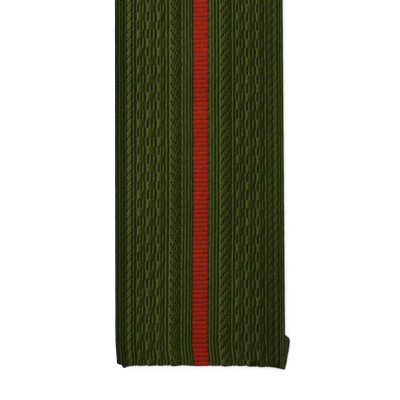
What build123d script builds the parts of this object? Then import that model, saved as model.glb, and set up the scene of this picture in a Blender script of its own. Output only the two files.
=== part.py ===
from build123d import *
from math import cos, hypot, radians, sin
import os

# Shoulder board: a ribbed woven strip folded flat round its sides and both ends, with a red stripe
# down the middle. The face is up, X runs across, and Y runs from the shoulder end to the neck end.
# The origin is the middle of the turned-under flap at the shoulder end, on the underside.
# All sizes are in millimetres.

# Board
board_length = 140.0
board_width = 50.0
crown_rise = 0.7
neck_edge_width = 18.0
neck_slope_length = 12.0

# Cloth of the galloon
cloth_thickness = 1.0
fold_gap = 1.0
side_radius = 0.9
end_radius = 1.3
rib_relief = 0.32
side_margin = 8.5
neck_margin = 9.0
flap_length = 9.4

# Centre stripe
stripe_width = 4.4
stripe_thickness = 0.45
stripe_proud = 0.16
stripe_rib_pitch = 1.33
stripe_rib_relief = 0.2
seat_gap = 0.05

# Hole for the shank of a shoulder button
button_hole_diameter = 3.0
button_hole_inset = 15.0

# Shoulder end: the fold line drops at the right corner, and there the flap beneath turns outwards
corner_dip = 1.1
dip_start_share = 0.58
corner_cut = 0.8
ear_reach = 1.55
ear_length = 8.4
ear_layers = 2
ear_corner = 0.7
ear_root_share = 0.6

# Small point of the fold that shows at the left corner
tip_reach = 0.9
tip_width = 2.4
tip_place_share = 0.89
tip_point_share = 0.3

# Ribs of one half of the face, from the stripe to the rolled side. A row is one kind of rib.
# Columns: kind, how many side by side, width of each and height of each, where the widths are
# shares of the ribbed half and the heights are shares of rib_relief. The widths add up to 1.
rib_shares = [
    ("border cord", 1, 0.041, 0.8),
    ("plain cord", 3, 0.0445, 0.9),
    ("inner rope band", 1, 0.170, 1.0),
    ("divider cord", 1, 0.042, 0.9),
    ("chain column", 3, 0.134, 1.0),
    ("divider cord", 1, 0.042, 0.9),
    ("outer rope band", 1, 0.130, 1.0),
    ("edge cord", 1, 0.0395, 0.8),
]

# Each roll at an end is made of this many flat steps, and the last one runs on up the face
roll_steps = 3
turn_per_step = 90 / roll_steps

# Cutting shapes run past what they cut by this much
overrun = 2.0

# Sizes that follow
half_width = board_width / 2
edge_height = 2 * cloth_thickness + fold_gap
side_roll = min(side_radius, 0.45 * edge_height)
end_roll = min(end_radius, 0.45 * edge_height)
end_y = -flap_length / 2
neck_y = end_y + board_length
crown_top = edge_height + crown_rise
rib_top = crown_top + rib_relief
seat_width = stripe_width + 2 * seat_gap
stripe_top = crown_top + stripe_proud
dip_x = dip_start_share * half_width
dip_slope = corner_dip / (half_width - dip_x)
neck_x = neck_edge_width / 2
neck_slope = neck_slope_length / (half_width - neck_x)


def crown(x):
    """Height of the face between its ribs at a place across the board."""
    return edge_height + crown_rise * (1 - (x / half_width) ** 2)


def quarter_arc(centre, start, end):
    """A quarter turn about a centre, from one point to another."""
    radius = (Vector(*start) - Vector(*centre)).length
    toward = (Vector(*start) + Vector(*end)) / 2 - Vector(*centre)
    middle = Vector(*centre) + toward.normalized() * radius
    return ThreePointArc(start, middle, end)


def lengthwise(section):
    """A section across the board, carried from end to end and a little past both."""
    return Pos(0, neck_y + overrun, 0) * extrude(Plane.XZ * section, board_length + 3 * overrun)


def rib_arcs(side):
    """The ribs of one half as arcs, from the stripe outwards. side is 1 right, -1 left."""
    inner = seat_width / 2
    span = half_width - side_roll - inner
    arcs = []
    for kind, count, width_share, height_share in rib_shares:
        for copy in range(count):
            outer = inner + width_share * span
            middle = (inner + outer) / 2
            height = crown(middle) + height_share * rib_relief
            arcs.append(
                ThreePointArc(
                    (side * inner, crown(inner)),
                    (side * middle, height),
                    (side * outer, crown(outer)),
                )
            )
            inner = outer
    return arcs


def ribbed_block():
    """The ribbed and crowned section with its rolled sides."""
    seat = seat_width / 2
    rolled_in = half_width - side_roll
    rolled_up = edge_height - side_roll
    lines = [
        Line((-seat, crown(seat)), (seat, crown(seat))),
        Line((-rolled_in, 0), (rolled_in, 0)),
    ]
    for side in (-1, 1):
        edge = side * half_width
        bend = side * rolled_in
        lines += rib_arcs(side)
        lines.append(Line((bend, crown(rolled_in)), (bend, edge_height)))
        lines.append(quarter_arc((bend, rolled_up), (bend, edge_height), (edge, rolled_up)))
        lines.append(Line((edge, rolled_up), (edge, side_roll)))
        lines.append(quarter_arc((bend, side_roll), (edge, side_roll), (bend, 0)))
    return lengthwise(make_face(Curve() + lines))


def roll_rows(depth, low, high):
    """How the ends roll at a depth in the cloth: (inset, height) pairs from low up to high."""
    radius = max(end_roll - depth, 0.1 * end_roll)
    turns = [radians(step * turn_per_step) for step in range(roll_steps)]
    insets = [end_roll - radius * cos(turn) for turn in turns]
    rises = [radius * sin(turn) for turn in turns]
    run_per_rise = cos(turns[-1]) / (1 - sin(turns[-1]))
    under = [(inset, end_roll - rise) for inset, rise in zip(insets, rises)]
    over = [(inset, edge_height - end_roll + rise) for inset, rise in zip(insets, rises)]
    lowest = (under[-1][0] + (under[-1][1] - low) * run_per_rise, low)
    highest = (over[-1][0] + (high - over[-1][1]) * run_per_rise, high)
    return [lowest, *reversed(under), *over, highest]


def plan(inset=0.0, spread=0.0):
    """Outline seen from above: its ends drawn in by inset, its long sides moved out by spread."""
    side = half_width + spread
    dip_inset = inset * hypot(1, dip_slope)
    neck_inset = inset * hypot(1, neck_slope)
    low = end_y + inset
    high = neck_y - inset
    low_bend = dip_x + (dip_inset - inset) / dip_slope
    high_bend = neck_x - (neck_inset - inset) / neck_slope
    low_corner = end_y - dip_slope * (side - dip_x) + dip_inset
    high_corner = neck_y - neck_slope * (side - neck_x) - neck_inset
    return Polyline(
        (-side, low),
        (low_bend, low),
        (side, low_corner),
        (side, high_corner),
        (high_bend, high),
        (-high_bend, high),
        (-side, high_corner),
        close=True,
    )


def rolled_ends(depth, low, high):
    """A block as wide as needed whose ends roll at a depth in the cloth, lofted up its outlines."""
    rows = roll_rows(depth, low, high)
    sections = [Pos(0, 0, height) * make_face(plan(inset, overrun)) for inset, height in rows]
    return loft(sections, ruled=True)


def corner_trim():
    """What is taken off the left corner of the shoulder end."""
    side = -half_width
    outline = Polyline(
        (side, end_y + corner_cut),
        (side + corner_cut, end_y),
        (side + corner_cut, end_y - overrun),
        (side - overrun, end_y - overrun),
        (side - overrun, end_y + corner_cut),
        close=True,
    )
    return extrude(make_face(outline), rib_top)


def hollow():
    """The room between the face and the turned-under margins."""
    reach = half_width - cloth_thickness
    low = cloth_thickness
    side_top = crown(reach) - cloth_thickness
    lines = [
        ThreePointArc((-reach, side_top), (0, crown_top - cloth_thickness), (reach, side_top)),
        Line((reach, side_top), (reach, low)),
        Line((reach, low), (-reach, low)),
        Line((-reach, low), (-reach, side_top)),
    ]
    room = lengthwise(make_face(Curve() + lines))
    return room & rolled_ends(cloth_thickness, low - seat_gap, crown_top)


def back_window():
    """The open middle of the underside, inside the side margins, the flap and the neck margin."""
    inside = offset(make_face(plan()), -side_margin, kind=Kind.INTERSECTION)
    low = end_y + flap_length
    high = neck_y - neck_margin
    band = Pos(0, (low + high) / 2) * Rectangle(board_width, high - low)
    return Pos(0, 0, -overrun) * extrude(inside & band, overrun + cloth_thickness + fold_gap / 2)


def ear():
    """The folded side of the flap beneath, where it turns out past the right side."""
    inner = half_width - ear_root_share * cloth_thickness
    top_y = end_y + ear_length
    low_y = end_y - corner_dip + end_roll
    height = ear_layers * cloth_thickness
    bend = half_width - height / 2
    lean = Vector(ear_reach, top_y - low_y, 0)
    fold = [
        Line((inner - ear_reach, 0), (bend, 0)),
        ThreePointArc((bend, 0), (half_width, height / 2), (bend, height)),
        Line((bend, height), (inner - ear_reach, height)),
        Line((inner - ear_reach, height), (inner - ear_reach, 0)),
    ]
    section = Plane.XZ * make_face(Curve() + fold)
    folded_side = Pos(0, low_y, 0) * extrude(section, lean.length, dir=lean)
    reach = half_width + ear_reach - inner
    length = top_y - low_y
    outline = Pos(inner + reach / 2, low_y + length / 2) * Rectangle(reach, length)
    corner = outline.vertices().sort_by(Axis.X)[-2:].sort_by(Axis.Y)[-1]
    return folded_side & extrude(fillet(corner, ear_corner), height)


def fold_tip():
    """The small point of the fold that shows past the left of the end edge."""
    point = -tip_place_share * half_width
    left = point - tip_point_share * tip_width
    right = left + tip_width
    root = end_y + cloth_thickness
    outline = Polyline(
        (left, root),
        (left, end_y),
        (point, end_y - tip_reach),
        (right, end_y),
        (right, root),
        close=True,
    )
    return Pos(0, 0, end_roll / 2) * extrude(make_face(outline), cloth_thickness)


def side_outline(depth):
    """Lengthwise corners of the board on its centre line at a depth in the cloth, end to end."""
    rows = roll_rows(depth, depth, stripe_top - depth)
    shoulder = [(end_y + inset, height) for inset, height in rows]
    neck = [(neck_y - inset, height) for inset, height in reversed(rows)]
    return shoulder, neck


def across(sketch, width):
    """A lengthwise outline given a width across the board, centred on the middle."""
    return Pos(-width / 2, 0, 0) * extrude(Plane.YZ * sketch, width)


def stripe_core(depth):
    """All that lies under the stripe's outer line by a depth, as a lengthwise outline."""
    shoulder, neck = side_outline(depth)
    return make_face(Polyline(*shoulder, *neck, close=True))


def stripe_seat():
    """What the galloon gives way to: everything outside the stripe's inner line."""
    block = Pos(0, (end_y + neck_y) / 2, stripe_top / 2) * Box(
        seat_width, board_length + 4 * overrun, stripe_top + 4 * overrun
    )
    return block - across(stripe_core(stripe_thickness + seat_gap), seat_width + overrun)


def cross_ribs(start, end):
    """The cross ribs of the stripe along a straight stretch, as arcs."""
    start = Vector(*start)
    stretch = Vector(*end) - start
    count = round(stretch.length / stripe_rib_pitch)
    step = stretch / count
    bulge = Vector(-stretch.Y, stretch.X).normalized() * stripe_rib_relief
    arcs = []
    for number in range(count):
        foot = start + step * number
        arcs.append(ThreePointArc(foot, foot + step / 2 + bulge, foot + step))
    return arcs


def button_hole():
    """The round hole for a button's shank, through the stripe and the galloon under it."""
    tall = rib_top + 2 * overrun
    return Pos(0, neck_y - button_hole_inset, tall / 2 - overrun) * Cylinder(
        button_hole_diameter / 2, tall
    )


def make_galloon():
    """The green cloth: the folded shell with its ribs, its ear and its fold tip."""
    shell = ribbed_block() & rolled_ends(0, -seat_gap, rib_top + seat_gap)
    shell = shell - corner_trim() - hollow() - back_window()
    shell = shell + ear() + fold_tip()
    return shell - stripe_seat() - button_hole()


def make_centre_stripe():
    """The red stripe: round both ends of the board, open over the back window."""
    shoulder, neck = side_outline(0)
    outer = make_face(
        Curve()
        + [Polyline(*shoulder[:-1]), Polyline(*neck[1:])]
        + [Line(neck[-1], shoulder[0])]
        + cross_ribs(shoulder[-2], shoulder[-1])
        + cross_ribs(shoulder[-1], neck[0])
        + cross_ribs(neck[0], neck[1])
    )
    low = end_y + flap_length
    high = neck_y - neck_margin
    opening = Pos((low + high) / 2, 0) * Rectangle(high - low, edge_height)
    stripe = across(outer - stripe_core(stripe_thickness) - opening, stripe_width)
    return stripe - button_hole()


parts = {
    "galloon": make_galloon(),
    "centre_stripe": make_centre_stripe(),
}

os.makedirs("parts", exist_ok=True)
for name, part in parts.items():
    part.label = name
    export_step(part, f"parts/{name}.step")
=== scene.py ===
"""Shoulder board of ribbed green galloon with a red centre stripe, dressed over its solid frame.

The galloon is one woven strip, folded under along both sides and both ends. Its surfaces are worked
out in the cloth's own two measures: across, from the middle of the stripe to a side, and along,
from the flap's cut edge over the face to the neck margin's cut edge. A fold turns these measures
into places, and a weave gives the height of the cords, pads, bars and rope bands at each of them.
All sizes are in millimetres, and become metres when a mesh is made.
"""

import logging
from dataclasses import dataclass, field
from enum import Enum
from math import pi, radians
from typing import ClassVar

import bpy
import numpy as np
from mathutils import Matrix, Vector


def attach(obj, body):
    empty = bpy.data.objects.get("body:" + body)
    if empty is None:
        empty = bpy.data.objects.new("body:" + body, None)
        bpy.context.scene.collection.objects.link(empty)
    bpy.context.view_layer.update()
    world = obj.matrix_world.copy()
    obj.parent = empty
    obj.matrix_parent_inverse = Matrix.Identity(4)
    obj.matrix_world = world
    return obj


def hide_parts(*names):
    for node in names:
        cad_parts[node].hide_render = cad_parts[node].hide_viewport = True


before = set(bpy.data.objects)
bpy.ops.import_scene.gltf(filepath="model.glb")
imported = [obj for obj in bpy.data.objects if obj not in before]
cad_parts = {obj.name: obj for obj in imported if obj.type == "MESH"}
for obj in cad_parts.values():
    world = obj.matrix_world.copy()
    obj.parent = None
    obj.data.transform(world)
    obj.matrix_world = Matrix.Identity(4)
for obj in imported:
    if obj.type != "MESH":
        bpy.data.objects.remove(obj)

MM = 0.001
QUARTER = 0.5 * pi
WELD_DISTANCE = 0.0005
SHARP_ANGLE = radians(75.0)
# The UV map holds the cloth's two measures in centimetres
UV_PER_MM = 0.1
# The inner side of a cloth has one vertex for every fourth of its outer side
COARSE_STEP = 4
ROOT = "root"
LOG = logging.getLogger("shoulder_board")


class Side(Enum):
    """A half of the board, seen from above with the neck end away."""

    LEFT = -1
    RIGHT = 1

    def choose(self, left: float, right: float) -> float:
        """The one of two values that is for this half."""
        return left if self is Side.LEFT else right


class Band(Enum):
    """A band of the galloon: from the stripe to the chain columns, or from there to the side."""

    INNER = "inner"
    OUTER = "outer"


class End(Enum):
    """The stretch of the cloth that a row of a grid lies on."""

    SHOULDER = -1
    FACE = 0
    NECK = 1


class Growth(Enum):
    """The way in which a lobe of the flap grows out of the board."""

    RIGHT = "to the right"
    OUT = "beyond the shoulder end"


def step(value: np.ndarray, zero: float, one: float) -> np.ndarray:
    """Smooth step from 0 at one place to 1 at another: 3s^2 - 2s^3 of the share s between them."""
    share = np.clip((value - zero) / (one - zero), 0.0, 1.0)
    return share * share * (3.0 - 2.0 * share)


def window(value: np.ndarray, low: float, high: float, soft: float) -> np.ndarray:
    """A smooth step up past a low place times a smooth step down before a high one."""
    return step(value, low, low + soft) * step(value, high, high - soft)


def bell(value: np.ndarray) -> np.ndarray:
    """Bell curve: e to the power of minus half the value squared."""
    return np.exp(-0.5 * value * value)


def centred(value: np.ndarray, period: float) -> np.ndarray:
    """Distance to the nearest multiple of a period, negative before it."""
    return (value / period + 0.5) % 1.0 * period - 0.5 * period


def waver(along: np.ndarray, seed: int, longest: float) -> np.ndarray:
    """An uneven wander between about -1 and 1 along a line.

    It is the sum of four sines, over 1.6. Each has half the wavelength and 0.6 of the height of the
    one before it, and their phases are drawn from the seed.

    Args:
        along: Places along the line, in millimetres.
        seed: Seed of the phases.
        longest: Longest wavelength, in millimetres.

    Returns:
        The wander at each place.
    """
    phases = np.random.default_rng(seed).uniform(0.0, 2.0 * pi, 4)
    total = np.zeros_like(along)
    for octave, phase in enumerate(phases):
        total += 0.6**octave * np.sin(2.0 * pi * along * 2**octave / longest + phase)
    return total / 1.6


def cord(across: np.ndarray, middle: float, half: float, top: float) -> np.ndarray:
    """Height of a round cord: top * (1 - (distance / half width)^2)^0.8."""
    return top * np.clip(1.0 - ((across - middle) / half) ** 2, 0.0, 1.0) ** 0.8


def ridge(
    u: np.ndarray, left: float, right: float, top: float, rise: float, fall: float
) -> np.ndarray:
    """A broad rib that rises steeply from its left edge and falls gently to its right one.

    Over the rise, the height is top * (1 - (1 - t)^1.3), and past it top * (1 - t^fall), with t
    from 0 to 1 over each stretch.

    Args:
        u: Places to the right of the stripe's middle.
        left: u of the left edge.
        right: u of the right edge.
        top: Greatest height.
        rise: Width of the rise.
        fall: Power of the fall. A high one keeps the top flat for longer.

    Returns:
        The rib's height.
    """
    up = np.clip((u - left) / rise, 0.0, 1.0)
    down = np.clip((u - left - rise) / (right - left - rise), 0.0, 1.0)
    return top * (1.0 - (1.0 - up) ** 1.3) * (1.0 - down**fall)


@dataclass(frozen=True)
class Rows:
    """The rows of a cloth grid, from the flap's cut edge to the neck margin's cut edge.

    turn is the angle of the roll, from 90 degrees on the face to -90 on the underside. under is the
    distance past the roll on the underside, and run is the place along the face.
    """

    end: np.ndarray
    turn: np.ndarray
    under: np.ndarray
    run: np.ndarray


@dataclass(frozen=True)
class Drape:
    """Where a grid of cloth lies: places, outward directions and distance along the cloth."""

    place: np.ndarray
    normal: np.ndarray
    travel: np.ndarray


@dataclass(frozen=True)
class Board:
    """Sizes of the folded board and the map from the cloth's measures to places on it."""

    half_width: float = 25.05
    end_y: float = -4.5
    neck_y: float = 135.05
    edge_height: float = 3.0
    crown_rise: float = 0.62
    left_radius: float = 1.2
    right_radius: float = 0.6
    end_radius: float = 0.50
    neck_half: float = 9.0
    neck_drop: float = 12.0
    cloth: float = 0.9
    flap: float = 9.0
    neck_margin: float = 8.8
    side_margin: float = 8.5
    underside_lift: float = 0.335
    shoulder_fade: float = 6.0
    neck_fade: float = 45.0
    # Outward directions shorter than this fade, where a roll at an end meets a side
    corner_fade: float = 0.3
    hole_place: float = 120.3
    hole_radius: float = 1.5
    hole_slack: float = 0.08
    hole_reach: float = 2.6
    # The cloth leans to the right near the shoulder end: how far, and where it starts and is full
    lean: float = 0.45
    lean_along: tuple = (3.0, -5.0)
    # The right side holds most of the lean back: share held, and where that starts and is full
    held_share: float = 0.85
    held_across: tuple = (14.0, 24.0)
    # How far the woven pattern sits to the right of the board's middle: place along, shift
    sway: tuple = (
        (-6.0, -0.08),
        (-1.6, -0.22),
        (1.0, -0.24),
        (9.6, -0.17),
        (16.8, -0.08),
        (31.0, 0.10),
        (45.0, 0.28),
        (74.0, 0.37),
        (102.0, 0.48),
        (112.0, 0.16),
        (117.0, 0.0),
        (150.0, 0.0),
    )
    # The sway is full up to the second of these distances from the middle, and ends at the first
    sway_across: tuple = (25.0, 12.0)
    # How far the pattern is pushed back towards the shoulder end: place along, push
    drift: tuple = (
        (-6.0, 0.0),
        (7.0, 0.0),
        (23.6, 0.07),
        (41.4, 0.22),
        (59.2, 0.22),
        (77.0, 0.0),
        (95.0, -0.15),
        (104.0, -0.20),
        (150.0, -0.20),
    )
    # Where the fold line of the shoulder end lies: place across in shares of half_width, and how
    # far the line drops there, which is most at the right corner
    fold_line: tuple = (
        (-1.0, -0.5),
        (-0.965, -0.1),
        (-0.93, 0.05),
        (-0.5, 0.05),
        (-0.2, 0.05),
        (-0.1, 0.22),
        (0.5, 0.24),
        (0.60, 0.42),
        (0.68, 0.56),
        (0.83, 0.68),
        (0.88, 0.88),
        (0.94, 1.20),
        (1.0, 1.40),
    )
    fold_rounding: float = 0.4

    @property
    def middle(self) -> float:
        """Height of the seam at which the upper and the lower side of the fold meet."""
        return 0.5 * self.edge_height

    @property
    def neck_slope(self) -> float:
        """Slope of the two slanting edges of the neck end."""
        return self.neck_drop / (self.half_width - self.neck_half)

    def radius(self, side: Side) -> float:
        """Radius at which a side rolls down."""
        return side.choose(self.left_radius, self.right_radius)

    def seam(self, side: Side) -> float:
        """Distance across, along the cloth, of the seam half-way down a side."""
        return self.half_width + self.middle + (QUARTER - 2.0) * self.radius(side)

    def rows(self, face: int = 672, roll: int = 16, under: int = 20) -> Rows:
        """The rows of a grid over the whole cloth.

        Args:
            face: Steps along the face.
            roll: Steps round each end.
            under: Steps along the underside at each end.

        Returns:
            The rows, in order from the shoulder flap to the neck margin.
        """
        low, high = self.end_y + self.end_radius, self.neck_y - self.end_radius
        run = np.linspace(low, high, face + 1)
        turns = np.linspace(-QUARTER, QUARTER, roll + 1)[1:-1]
        flap = np.linspace(self.flap - self.end_radius, 0.0, under + 1)
        margin = np.linspace(0.0, self.neck_margin - self.end_radius, under + 1)
        beneath, level = np.full(under + 1, -QUARTER), np.full(face + 1, QUARTER)
        fold = under + 1 + len(turns)
        end = np.repeat([stretch.value for stretch in End], (fold, face + 1, fold))
        turn = np.concatenate([beneath, turns, level, turns[::-1], beneath])
        past = np.concatenate([flap, np.zeros(len(run) + 2 * len(turns)), margin])
        return Rows(end, turn, past, np.concatenate([np.full(fold, low), run, np.full(fold, high)]))

    def shoulder_line(self, x: np.ndarray) -> tuple[np.ndarray, np.ndarray]:
        """Fold line of the shoulder end: the table's points, joined by lines and rounded a little.

        The place along is the mean at five places across, spread over the rounding to both sides.

        Args:
            x: Places across.

        Returns:
            The fold line's place along, and its slope, at each of them.
        """
        shares, drops = np.array(self.fold_line).T
        corners, reach = shares * self.half_width, self.fold_rounding
        steps = np.linspace(-reach, reach, 5)
        drop = np.mean([np.interp(x + shift, corners, drops) for shift in steps], axis=0)
        change = np.interp(x + reach, corners, drops) - np.interp(x - reach, corners, drops)
        return self.end_y - drop, -change / (2.0 * reach)

    def neck_line(self, x: np.ndarray, inset: np.ndarray | float) -> np.ndarray:
        """Place along of the neck end's outline at places across, moved inwards by an inset."""
        slanting = self.neck_slope * (np.abs(x) - self.neck_half)
        return self.neck_y - np.maximum(inset, slanting + inset * np.hypot(1.0, self.neck_slope))

    def opening(self, y: np.ndarray, slack: float = 0.0) -> np.ndarray:
        """Half width of the button hole at places along, plus some slack: half a chord of it."""
        square = (self.hole_radius + slack) ** 2 - (y - self.hole_place) ** 2
        return np.sqrt(np.maximum(square, 0.0))

    def lean_at(self, travel: np.ndarray, x: np.ndarray) -> np.ndarray:
        """How far the cloth is shifted to the right.

        It leans near the shoulder end, less so at the right side, and its pattern sways along the
        whole length by the table, less and less towards both sides.

        Args:
            travel: Distances along the cloth.
            x: Places across, of the same shape.

        Returns:
            The shift at each place.
        """
        lean = self.lean * step(travel, *self.lean_along)
        held = 1.0 - self.held_share * step(x, *self.held_across)
        places, shifts = np.array(self.sway).T
        free = step(np.abs(x), *self.sway_across)
        return lean * held + np.interp(travel, places, shifts) * free

    def section(self, side: Side, across: np.ndarray) -> tuple[np.ndarray, ...]:
        """How the cloth crosses the board.

        It follows the crown of the face, z = edge height + rise * (1 - (x / half width)^2), then a
        quarter circle down the side and its wall to the seam.

        Args:
            side: The half of the board.
            across: Distances across from the middle.

        Returns:
            Places across, the angle of the side's roll, and the height of the cloth over the seam
            on the face and below it on the underside.
        """
        radius = self.radius(side)
        start = self.half_width - radius
        angle = np.clip((across - start) / radius, 0.0, QUARTER)
        wall = np.maximum(across - start - QUARTER * radius, 0.0)
        x = np.minimum(across, start) + radius * np.sin(angle)
        drop = radius * (1.0 - np.cos(angle)) + wall
        crown = self.crown_rise * (1.0 - (x / self.half_width) ** 2)
        above = np.maximum(self.edge_height + crown - drop - self.middle, 0.0)
        lift = self.underside_lift * (1.0 - drop / self.middle)
        below = np.maximum(self.middle - drop - lift, 0.0)
        return side.value * x, angle, above, below

    def drape(self, side: Side, across: np.ndarray, rows: Rows) -> Drape:
        """Lays a grid of cloth over the board.

        Across, the cloth follows the section. Along, it runs to the end, round half an ellipse
        about the seam's height, and back along the underside. Beside the button hole it is pushed
        outwards, less and less up to the hole's reach.

        Args:
            side: The half of the board.
            across: Distances across from the middle, one for each column.
            rows: The rows of the grid.

        Returns:
            The grid's places, outward directions and distance along the cloth.
        """
        x, angle, above, below = self.section(side, across)
        end = rows.end[:, None]
        at_shoulder, at_neck = end == End.SHOULDER.value, end == End.NECK.value
        shoulder, shoulder_slope = self.shoulder_line(x)
        neck_slope = -np.sign(x) * self.neck_slope * (np.abs(x) > self.neck_half)
        slope = np.where(at_neck, neck_slope, shoulder_slope)
        stretch = np.hypot(1.0, slope)
        roll = self.end_radius * stretch
        shoulder_start = shoulder + self.end_radius * np.hypot(1.0, shoulder_slope)
        neck_start = self.neck_line(x, self.end_radius)

        turn, under, run = rows.turn[:, None], rows.under[:, None], rows.run[:, None]
        low, high = rows.run.min(), rows.run.max()
        face = run + (shoulder_start - low) * step(run, low + self.shoulder_fade, low)
        face = face + (neck_start - high) * step(run, high - self.neck_fade, high)
        inset = self.end_radius * (1.0 - np.cos(turn)) + under
        y = np.where(at_neck, self.neck_line(x, inset), face)
        y = np.where(at_shoulder, shoulder + inset * stretch, y)
        height = np.where(turn >= 0.0, above, below)
        z = self.middle + height * np.sin(turn)
        spread = self.opening(y, self.hole_slack) * (turn > 0.0)
        x = x + side.value * spread * np.maximum(1.0 - np.abs(x) / self.hole_reach, 0.0)

        past = 0.5 * (roll + 0.5 * (above + below)) * (QUARTER - turn) + under * stretch
        travel = np.where(at_neck, neck_start + past, face)
        travel = np.where(at_shoulder, shoulder_start - past, travel)
        outward = end * np.cos(angle) * height * np.cos(turn)
        sideways = side.value * np.sin(angle) * roll * np.sin(turn) ** 2 - slope * outward
        upward = np.cos(angle) * roll * np.sin(turn)
        normal = np.stack([sideways, outward, upward], axis=-1)
        length = np.linalg.norm(normal, axis=-1, keepdims=True)
        normal = normal / np.maximum(length, 1e-6) * step(length, 0.0, self.corner_fade)
        place = np.stack([x + self.lean_at(travel, x), y, z], axis=-1)
        places, pushes = np.array(self.drift).T
        return Drape(place, normal, travel + np.interp(travel, places, pushes))


@dataclass(frozen=True)
class Unevenness:
    """A slow wander over the cloth: its amount, how it slants across, and its longest wave."""

    amount: float
    slant: float
    longest: float

    def at(self, across: np.ndarray | float, travel: np.ndarray, seed: int) -> np.ndarray:
        """The wander at places across and along: amount * waver of (along + slant * across)."""
        return self.amount * waver(travel + self.slant * across, seed, self.longest)


@dataclass(frozen=True)
class Chain:
    """One chain column: pads that alternate with groups of one thin cord and two thin bars.

    The thin cord runs at u = boundary along the column's left edge, and the bars are cords between
    the three slots, listed by u. A pad is a ridge from the thin cord to the last slot. Both kinds
    of row take half a period, and blend over a short stretch. bars_place is the place along of the
    middle of one group of bars.
    """

    side: Side
    boundary: float
    slots: tuple[float, float, float]
    bars_place: float
    period: float = 5.285
    pad_height: float = 0.47
    pad_rise: float = 0.68
    pad_fall: float = 1.9
    pad_inset: float = 0.26
    pad_overlap: float = 0.14
    bar_height: float = 0.39
    bar_share: float = 0.74
    slot_end: float = 0.55
    boundary_half: float = 0.30
    boundary_height: float = 0.39
    boundary_wave: float = 0.08

    def height(self, u: np.ndarray, travel: np.ndarray) -> np.ndarray:
        """Height of the column.

        Args:
            u: Places to the right of the stripe's middle.
            travel: Distances along the cloth.

        Returns:
            The height at each place.
        """
        away = centred(travel - self.bars_place, self.period)
        waved = u + self.boundary_wave * np.cos(2.0 * pi * away / self.period)
        group = cord(waved, self.boundary, self.boundary_half, self.boundary_height)
        for low, high in zip(self.slots, self.slots[1:]):
            half = 0.5 * self.bar_share * (high - low)
            group = np.maximum(group, cord(u, 0.5 * (low + high), half, self.bar_height))
        left, right = self.boundary - self.pad_inset, self.slots[-1] + self.pad_overlap
        pad = ridge(u, left, right, self.pad_height, self.pad_rise, self.pad_fall)
        reach, soft = 0.25 * self.period, 0.5 * self.slot_end
        bars = step(np.abs(away), reach + soft, reach - soft)
        return pad * (1.0 - bars) + group * bars


@dataclass(frozen=True)
class Rope:
    """One rope band: a ridge crossed by slanting rows of stitch holes.

    left and right are u of its edges, share is its height as a share of the full one, and rise is
    the width of its rise. A row starts at u = hole and at hole_place along, and aside and ahead are
    the steps to its next hole. Each hole is a round dimple, with a raised stitch to the right of it
    and ahead. The rows come twice in each period of the chains, and the left edge swells there.
    """

    side: Side
    left: float
    right: float
    share: float
    rise: float
    hole: float
    hole_place: float
    aside: float
    ahead: float
    holes: int = 4
    full_height: float = 0.54
    fall: float = 4.0
    edge_wave: float = 0.06
    edge_height: float = 0.1
    dimple_depth: float = 0.66
    dimple_share: float = 0.225
    stitch_height: float = 0.30
    # Middle and half width of a stitch past its hole, aside and ahead
    stitch_aside: tuple = (0.34, 0.16)
    stitch_ahead: tuple = (0.16, 0.22)

    def height(self, u: np.ndarray, travel: np.ndarray) -> np.ndarray:
        """Height of the band.

        Args:
            u: Places to the right of the stripe's middle.
            travel: Distances along the cloth.

        Returns:
            The height at each place.
        """
        period = 0.5 * Chain.period
        waved = u + self.edge_wave * np.cos(2.0 * pi * (travel - self.hole_place) / period)
        top = self.share * self.full_height
        height = ridge(waved, self.left, self.right, top, self.rise, self.fall)
        inside = self.share * step(height, 0.0, self.edge_height)
        radius = self.dimple_share * np.hypot(self.aside, self.ahead)
        aside_middle, aside_half = self.stitch_aside
        ahead_middle, ahead_half = self.stitch_ahead
        for number in range(self.holes):
            aside = u - self.hole - number * self.aside
            ahead = centred(travel - self.hole_place - number * self.ahead, period)
            dimple = bell(aside / radius) * bell(ahead / radius)
            stitch = bell((aside - aside_middle) / aside_half)
            stitch = stitch * bell((ahead - ahead_middle) / ahead_half)
            height += inside * (self.stitch_height * stitch - self.dimple_depth * dimple)
        return np.maximum(height, 0.0)


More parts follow.
